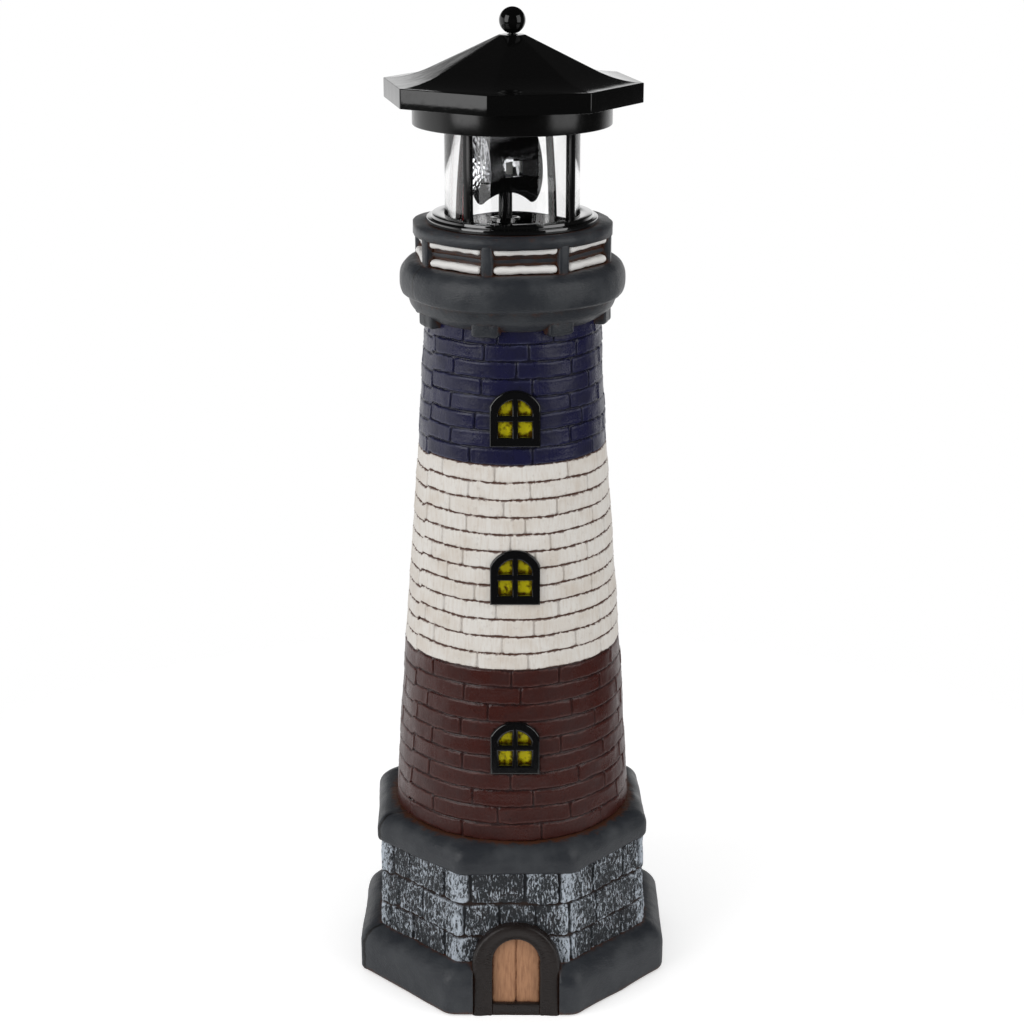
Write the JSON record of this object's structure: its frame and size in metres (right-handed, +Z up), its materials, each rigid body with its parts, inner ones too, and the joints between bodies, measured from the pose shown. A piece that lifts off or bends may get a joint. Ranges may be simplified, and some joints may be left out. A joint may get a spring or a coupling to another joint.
{
  "type": "garden lighthouse ornament",
  "caption": "Brick lighthouse on an octagonal stone plinth, with a lift-out solar lantern whose reflector beacon turns inside a clear tube.",
  "frame": {"origin": "centre of the plinth's octagonal foot, on the ground plane", "axes": "+Z up the tower's axis to the ball on the roof, -Y towards the door, +X to the right of the door"},
  "size_m": [0.116, 0.116, 0.36],
  "materials": {
    "fired_clay_paint": "hand-painted matt over fired clay",
    "gloss_black_resin": "gloss",
    "yellow_pane": "gloss",
    "black_abs": "gloss",
    "clear_acrylic": "clear polished",
    "solar_glass": "gloss",
    "zinc_steel": "zinc plated",
    "chromed_plastic": "vacuum-metallised",
    "black_acetal": "satin",
    "white_acetal": "satin",
    "motor_steel": "drawn steel",
    "battery_sleeve": "gloss sleeve",
    "nickel_steel": "nickel plated",
    "circuit_board": "solder mask",
    "led_resin": "clear resin",
    "red_pvc": "satin",
    "black_pvc": "satin"
  },
  "bodies": {
    "tower": {"tower_casting": "fired_clay_paint", "window_frame_lower": "gloss_black_resin", "window_frame_middle": "gloss_black_resin", "window_frame_upper": "gloss_black_resin", "window_pane_lower": "yellow_pane", "window_pane_middle": "yellow_pane", "window_pane_upper": "yellow_pane"},
    "lantern": {"base_cover": "black_abs", "battery": "battery_sleeve", "battery_contact_left": "nickel_steel", "battery_contact_right": "nickel_steel", "circuit_board": "circuit_board", "cover_screws": "zinc_steel", "gear_motor": "motor_steel", "gear_plate": "black_abs", "lamp_base": "black_abs", "lamp_housing": "black_abs", "lantern_frame": "black_abs", "lead_black": "black_pvc", "lead_red": "red_pvc", "led": "led_resin", "led_stem": "chromed_plastic", "lens_tube": "clear_acrylic", "roof_finial": "black_abs", "roof_screws": "zinc_steel", "roof_shell": "black_abs", "slide_switch": "motor_steel", "solar_cell": "solar_glass"},
    "beacon": {"reflector_left": "chromed_plastic", "reflector_right": "chromed_plastic", "beacon_spindle": "black_acetal", "spindle_gear": "white_acetal"},
    "pinion": {"motor_pinion": "white_acetal"},
    "switch": {"switch_knob": "black_acetal"}
  },
  "joints": [
    {"name": "lantern_lift", "type": "slide", "parent": "tower", "child": "lantern", "axis": [0, 0, 1], "range_m": [0, 0.03]},
    {"name": "beacon_spin", "type": "hinge", "parent": "lantern", "child": "beacon", "pos_m": [-0.0024, 0, 0.3], "axis": [0, 0, 1], "continuous": true},
    {"name": "pinion_spin", "type": "hinge", "parent": "lantern", "child": "pinion", "pos_m": [0.00587, 0.00827, 0.278], "axis": [0, 0, 1], "continuous": true},
    {"name": "switch_slide", "type": "slide", "parent": "lantern", "child": "switch", "axis": [1, 0, 0], "range_m": [0, 0.002]}
  ],
  "couplings": [
    {"joint": "pinion_spin", "follows": "beacon_spin", "ratio": -3.3333}
  ]
}
